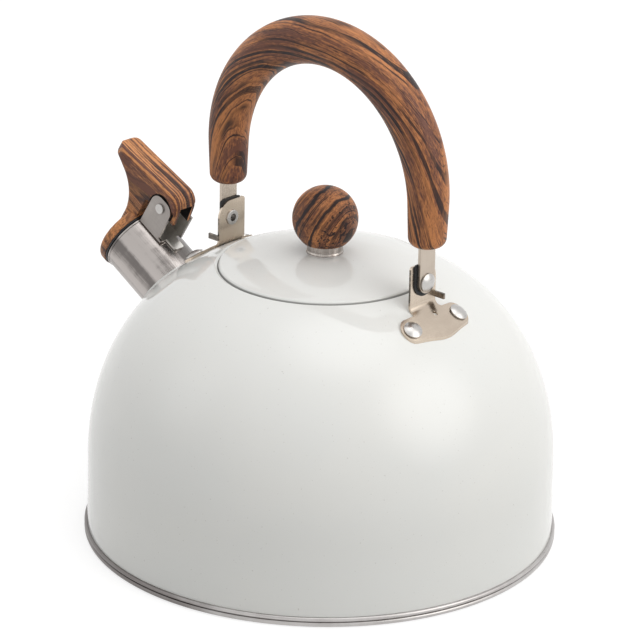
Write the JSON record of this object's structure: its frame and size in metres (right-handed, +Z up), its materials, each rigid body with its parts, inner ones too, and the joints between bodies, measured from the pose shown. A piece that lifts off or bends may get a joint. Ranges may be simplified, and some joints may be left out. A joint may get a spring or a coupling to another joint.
{
  "type": "stovetop whistling kettle",
  "caption": "Domed enamel stovetop kettle with a ball-knob lid, an arched handle that folds sideways, and a short spout shut by a sprung whistling cap.",
  "frame": {"origin": "on the kettle's axis, in the plane that its base disc stands on", "axes": "+Z up the kettle's axis, -X towards the spout, +Y square to the handle's plane"},
  "size_m": [0.2456, 0.22, 0.2467],
  "materials": {
    "enamel": "glossy off-white enamel",
    "rim_steel": "satin rolled rim",
    "disc_aluminium": "turned, unpolished",
    "spout_steel": "brushed along the tube",
    "polished_steel": "polished",
    "satin_nickel": "warm satin plating",
    "black_rubber": "matt black",
    "handle_moulding": "satin, printed with an orange-brown wood grain with near-black veins",
    "knob_moulding": "satin, printed with a darker wood grain with two bands",
    "lever_moulding": "satin, printed with a straight orange and brown grain",
    "whistle_brass": "thin pressed sheet"
  },
  "bodies": {
    "kettle": {"body_shell": "enamel", "base_pan": "rim_steel", "base_disc": "disc_aluminium", "spout_tube": "spout_steel", "bracket_front": "satin_nickel", "bracket_rear": "satin_nickel", "bracket_rivets": "polished_steel", "hinge_rivet_front": "polished_steel", "hinge_rivet_rear": "polished_steel", "hinge_washer_front": "black_rubber", "hinge_washer_rear": "black_rubber", "spout_yoke": "satin_nickel", "lever_pin": "polished_steel", "lever_spring": "polished_steel"},
    "lid": {"lid_shell": "enamel", "lid_skirt": "spout_steel", "knob_ball": "knob_moulding", "knob_collar": "polished_steel", "knob_washer": "black_rubber", "knob_screw": "polished_steel"},
    "handle": {"handle_strap_front": "satin_nickel", "handle_strap_rear": "satin_nickel", "handle_grip": "handle_moulding"},
    "lever": {"cap_lever": "lever_moulding", "cap_gasket": "black_rubber", "whistle_disc": "whistle_brass", "whistle_cup": "whistle_brass"}
  },
  "joints": [
    {"name": "lid_lift", "type": "slide", "parent": "kettle", "child": "lid", "axis": [0, 0, 1], "range_m": [0, 0.045]},
    {"name": "handle_fold", "type": "hinge", "parent": "kettle", "child": "handle", "pos_m": [0, 0, 0.13808], "axis": [1, 0, 0], "range_deg": [-100, 100]},
    {"name": "lever_tilt", "type": "hinge", "parent": "kettle", "child": "lever", "pos_m": [-0.09865, 0, 0.13364], "axis": [0, 1, 0], "range_deg": [0, 55], "stiffness_Nm_per_rad": 0.12, "springref_deg": -34.38}
  ]
}
